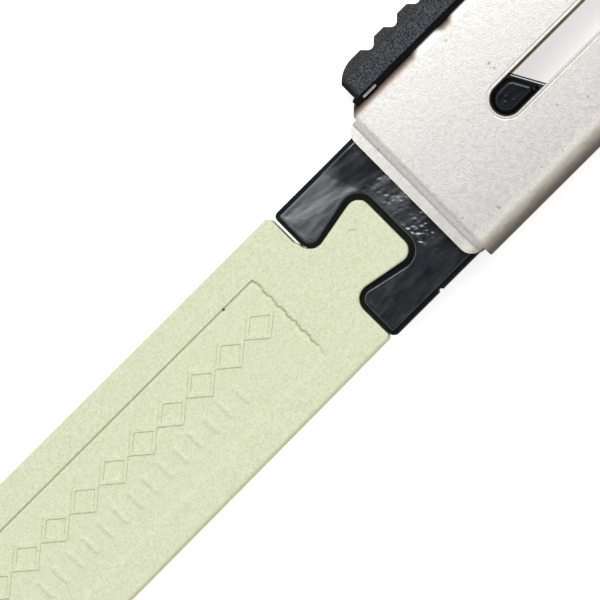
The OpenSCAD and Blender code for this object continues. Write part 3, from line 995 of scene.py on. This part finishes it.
def make_button():
    """Thumb pad with round grooves and a leaning upper band, painted browner as shade, hollowed to
    sit over the sheath's bends, with a thin skirt that stands in for the shadow under the pad, and
    two legs."""
    x0, x1, top_y = pad_lo.x, pad_hi.x, pad_hi.y
    r, depth, pitch, first, count = 0.42, 0.5, 2.3, 3.35, 5
    edge = []
    for i in range(count):
        bottom = arc((x0 + first + i * pitch, top_y - depth + r), r, 225, 315, 10)
        rim = top_y - bottom[0][1]
        edge += [(bottom[0][0] - rim, top_y)] + bottom + [(bottom[-1][0] + rim, top_y)]
    nose_len, nose_drop = 1.8, 0.84
    nose_r = (nose_len ** 2 + nose_drop ** 2) / (2 * nose_drop)
    turn = math.degrees(math.asin(nose_len / nose_r))
    front = arc((x0 + nose_len, top_y - nose_r), nose_r, 90 + turn, 90, 12)
    back = arc((x1 - nose_len, top_y - nose_r), nose_r, 90, 90 - turn, 12)
    low_y = 7.09
    outline = clean(spaced([(x0, low_y)] + front + edge + back + [(x1, low_y)], 0.25))
    band_y = top_y - PAD_BAND

    def drop(x, y):
        band = 0.10 * smooth((y - band_y) / 0.07) + 0.16 * np.clip((y - band_y) / PAD_BAND, 0, 1)
        end = np.minimum(x - x0, x1 - x)
        return band + 0.28 * np.clip(1 - end / 0.55, 0, 1) ** 1.4

    xs = np.arange(x0, x1, 0.2)
    lines = [np.stack((xs, np.full_like(xs, band_y + d)), 1) for d in (0, 0.07)]
    body = object_from(plate(outline, pad_lo.z, pad_hi.z, rounded(0.1, 3), 0.2, drop, extra=lines),
                       "thumb_pad")
    gap = 0.32
    saddle = (arc((FLAT_HALF, BEND_R), BEND_R + gap, -90, 0, 10)
              + arc((FLAT_HALF, THICK - BEND_R), BEND_R + gap, 0, 90, 10)
              + [(0, THICK + gap), (0, -gap)])
    boolean(body, extruded(clean(saddle), x0 - 1, x1 + 1, "saddle"))
    # A thin sheet under each face's lower edge, painted near black by the button's material as the
    # shadow in the gap under the pad.
    shadow_skirt = [(x0 - 0.28, 6.86), (x0 - 0.02, 6.76), (x1 - 0.1, 6.76), (x1 - 0.1, 7.3),
             (x0 - 0.02, 7.3), (x0 - 0.28, 7.2)]
    for low, high in ((5.78, 5.87), (THICK - 5.87, THICK - 5.78)):
        boolean(body, prism(shadow_skirt, low, high), "UNION")
    for x in LEG_X:
        leg = block_between((x, LEG_FOOT_Y, MID_Z - LEG_HALF),
                            (x + LEG_LEN, HALF_W + 0.6, MID_Z + LEG_HALF))
        boolean(body, leg, "UNION")
    return bake(body, "slider", "button_plastic", MATT_BLACK, "thumb_button")


# ---------------------------------------------------------------- rear hardware

def make_end_cap():
    """Cap with a fine groove round its front, and a plug in the sheath."""
    r = 2.4
    x1, front = cap_hi.x, SHEATH_END
    outline = clean(spaced(
        [(front - 2.5, -HALF_W)] + arc((x1 - r, r - HALF_W), r, -90, 0, 12)
        + arc((x1 - r, HALF_W - r), r, 0, 90, 12) + [(front - 2.5, HALF_W)], 0.5))

    def groove(x, _y):
        return -0.07 * np.exp(-((x - (front + 0.28)) / 0.1) ** 2)

    body = object_from(plate(outline, 0, THICK, rounded(BEND_R, 8), 0.2, relief=groove,
                             back_relief=groove), "rear_cap_shell")
    boolean(body, block_between((front - 5, -20, -5), (front, 20, THICK + 5)))
    bevel(body, 0.12, 3, 60)
    gap = SHEET + 0.1
    plug = extruded(clean(tube_loop(gap, 6)), cap_lo.x, front + 1, "plug")
    bevel(plug, 0.15, 2, 60)
    boolean(body, plug, "UNION")
    boolean(body, pin(BORE_R, -1, THICK + 1, RIVET_AT))
    boolean(body, pin(SEAT_R, -1, washer_hi.z, RIVET_AT))
    return bake(body, "rear_cap", "cap_plastic", MATT_BLACK, "end_cap")


def clip_height(x):
    """Underside of the clip strip at rest."""
    hinge, rise, touch = arm_hi.x, 1.8, arm_lo.x + 2.6
    low, high = arm_lo.z + 0.05, arm_lo.z + 0.75
    if x >= hinge:
        return arm_lo.z
    if x >= hinge - rise:
        return arm_lo.z + 0.75 * float(smooth((hinge - x) / rise))
    if x >= touch:
        return low + (high - low) * ((x - touch) / (hinge - rise - touch)) ** 1.25
    return low + 0.8 * ((touch - x) / (touch - arm_lo.x)) ** 2


def make_clip():
    """One strip of steel, from its flat foot over the arch to the curled tip."""
    x0, x1 = arm_lo.x, foot_hi.x
    half, thick, edge = (arm_hi.y - arm_lo.y) / 2, 0.5, 0.12
    tip_r, heel_r = 1.2, 0.6
    xs = np.concatenate((
        x0 + tip_r * (1 - np.cos(np.linspace(0, math.pi / 2, 12))),
        np.linspace(x0 + 1.3, x0 + 3.6, 12), np.linspace(x0 + 4.6, arm_hi.x - 3, 16),
        np.linspace(arm_hi.x - 2.4, arm_hi.x + 0.6, 16), np.linspace(arm_hi.x + 0.9, x1 - 0.7, 6),
        x1 - heel_r * (1 - np.sin(np.linspace(0, math.pi / 2, 8)))))
    rings = []
    for x in xs:
        slope = (clip_height(x + 0.01) - clip_height(x - 0.01)) / 0.02
        lean = math.hypot(1, slope)
        w = half * (0.72 + 0.28 * float(smooth((x - x0) / 16)))
        for gone, r in ((x - x0, tip_r), (x1 - x, heel_r)):
            turn = max(0.0, 1 - gone / r)
            w -= r * (1 - math.sqrt(1 - turn * turn))
        bow = 0.16 * float(smooth((arm_hi.x - 1.5 - x) / 3)) * float(smooth((x - x0 - 1) / 5))
        under = ([(-w + edge * (1 - math.cos(a)), edge * (1 - math.sin(a)))
                  for a in np.linspace(0, math.pi / 2, 4)]
                 + [(-w * k / 4, 0.0) for k in (3, 2, 1, 0, -1, -2, -3)]
                 + [(w - edge * (1 - math.sin(a)), edge * (1 - math.cos(a)))
                    for a in np.linspace(0, math.pi / 2, 4)])
        loop = under + [(y, thick - z) for y, z in reversed(under)]
        middle = clip_height(x)
        rings.append([(x - slope * z / lean, y, middle + z / lean + bow * (1 - (y / half) ** 2))
                      for y, z in loop])
    strip = stacked(rings[::-1], "pocket_clip")
    boolean(strip, pin(BORE_R, 5, 8, RIVET_AT))
    bake(strip, None, "clip_steel", CLIP_STEEL, "clip_foot", "clip_arm", sharp=50)
    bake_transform(strip)


def make_rivet():
    """Domed head, shank and the spread tail that holds the washer."""
    head_r = (rivet_hi.x - rivet_lo.x) / 2
    head_z, tail_z = foot_hi.z, washer_lo.z
    head_h = rivet_hi.z - head_z
    rim = 0.12
    bulge = [(head_r * math.cos(a), head_z + rim + (head_h - rim) * math.sin(a))
             for a in np.linspace(0, math.pi / 2 - 0.03, 12)]
    profile = ([(1e-3, rivet_lo.z), (1.15, rivet_lo.z), (1.4, rivet_lo.z + 0.08), (1.5, tail_z),
                (1.0, tail_z), (1.0, head_z), (head_r - 0.08, head_z), (head_r, head_z + 0.06)]
               + bulge + [(1e-3, rivet_hi.z)])
    piece = lathe(profile, RIVET_AT, "rivet")
    bake(piece, "rear_cap", "rivet_steel", BRIGHT_STEEL, "clip_rivet", sharp=45)


def make_washer():
    b = 0.05
    lo, hi, inner, outer = washer_lo.z, washer_hi.z, BORE_R, (washer_hi.x - washer_lo.x) / 2
    profile = [(inner, lo + b), (inner + b, lo), (outer - b, lo), (outer, lo + b),
               (outer, hi - b), (outer - b, hi), (inner + b, hi), (inner, hi - b)]
    ring = lathe(profile, RIVET_AT, "washer")
    bake(ring, "rear_cap", "rivet_steel", BRIGHT_STEEL, "rivet_washer", sharp=30)


make_sheath()
make_carrier()
make_boss()
make_refill()
make_button()
make_end_cap()
make_clip()
make_rivet()
make_washer()
for node, material in (("slide_plate", PAD_SHADED_STEEL), ("leaf_spring", BRIGHT_STEEL)):
    mesh = frame["nodes"][node].data
    mesh.materials.clear()
    mesh.materials.append(material)


# ---------------------------------------------------------------- stage, lights and camera

def make_floor():
    mesh = bpy.data.meshes.new("floor")
    half = 8.0
    mesh.from_pydata([(-half, -half, 0), (half, -half, 0), (half, half, 0), (-half, half, 0)], [],
                     [(0, 1, 2, 3)])
    floor = bpy.data.objects.new("floor", mesh)
    floor.location.z = cad_lo.z - 0.02 * MM
    floor.visible_glossy = False
    bpy.context.scene.collection.objects.link(floor)
    mat, _, shader, _ = node_material("pale_floor")
    shader.inputs["Base Color"].default_value = (0.9, 0.9, 0.9, 1)
    shader.inputs["Roughness"].default_value = 0.9
    shader.inputs["Emission Color"].default_value = (1, 1, 1, 1)
    shader.inputs["Emission Strength"].default_value = 0.62
    mesh.materials.append(mat)


def area_light(name, offset, size, power, colour=(1, 1, 1)):
    light = bpy.data.lights.new(name, "AREA")
    light.shape = "RECTANGLE"
    light.size, light.size_y = size
    light.energy = power
    light.color = colour
    lamp = bpy.data.objects.new(name, light)
    lamp.location = TARGET + Vector(offset)
    lamp.rotation_mode = "QUATERNION"
    lamp.rotation_quaternion = Vector(offset).to_track_quat("Z", "Y")
    lamp.visible_camera = False
    bpy.context.scene.collection.objects.link(lamp)


TARGET = ORIGIN + Vector((-10.56, -0.09, 5.6)) * MM
TURN = math.radians(44.85)
IMAGE_RIGHT = Vector((math.cos(TURN), -math.sin(TURN), 0))
IMAGE_UP = Vector((math.sin(TURN), math.cos(TURN), 0))
VIEW_WIDTH = 42.25 * MM
CAMERA_DISTANCE = 0.75
TILT = math.radians(2.7)


def make_camera():
    cam = bpy.data.cameras.new("camera")
    cam.type = "PERSP"
    cam.sensor_width = 36
    cam.lens = cam.sensor_width * CAMERA_DISTANCE / VIEW_WIDTH
    cam.clip_start, cam.clip_end = 0.05, 30
    eye = bpy.data.objects.new("camera", cam)
    back = (Vector((0, 0, 1)) * math.cos(TILT) + IMAGE_RIGHT * math.sin(TILT)).normalized()
    right = (IMAGE_RIGHT - back * IMAGE_RIGHT.dot(back)).normalized()
    up = back.cross(right)
    eye.matrix_world = Matrix.Translation(TARGET + back * CAMERA_DISTANCE) @ Matrix(
        (right, up, back)).transposed().to_4x4()
    bpy.context.scene.collection.objects.link(eye)
    bpy.context.scene.camera = eye


def make_lights():
    """A white dome, dark at the zenith where the camera hangs and towards the horizon, and one
    soft box from the top of the picture. The camera itself sees plain pale surroundings."""
    world = bpy.data.worlds.new("studio")
    world.use_nodes = True
    tree = world.node_tree
    where = tree.nodes.new("ShaderNodeTexCoord").outputs["Generated"]

    def toward(direction):
        lean = tree.nodes.new("ShaderNodeVectorMath")
        lean.operation = "DOT_PRODUCT"
        lean.inputs[1].default_value = direction.normalized()
        tree.links.new(where, lean.inputs[0])
        return Field(tree, lean.outputs["Value"])

    greys = [(0.0, 0.16), (0.25, 0.28), (0.50, 0.62), (0.70, 0.95)]
    dome = ramp(axis(tree, where, "Z"), [(height, (grey,) * 3) for height, grey in greys])
    edge, core = math.cos(math.radians(23)), math.cos(math.radians(10))
    shade = toward(Vector((0, 0, 1)) - IMAGE_UP * 0.12).fade(edge, core, 1.0, 0.07)
    dome = mix(tree, 1.0, dome, shade, "MULTIPLY")
    side = toward(IMAGE_UP).remap(-0.7, 0.7, 0.62, 1.25)
    studio = mix(tree, 1.0, dome, side, "MULTIPLY")
    seen = tree.nodes.new("ShaderNodeLightPath").outputs["Is Camera Ray"]
    surroundings = tree.nodes["Background"]
    feed(tree, mix(tree, seen, studio, (0.95, 0.95, 0.95)), surroundings.inputs["Color"])
    surroundings.inputs["Strength"].default_value = 1.15
    bpy.context.scene.world = world
    area_light("key", IMAGE_UP * 0.30 + Vector((0, 0, 0.55)), (0.3, 0.3), 1.6)


make_floor()
make_lights()
make_camera()
bpy.context.scene.view_settings.view_transform = "Standard"
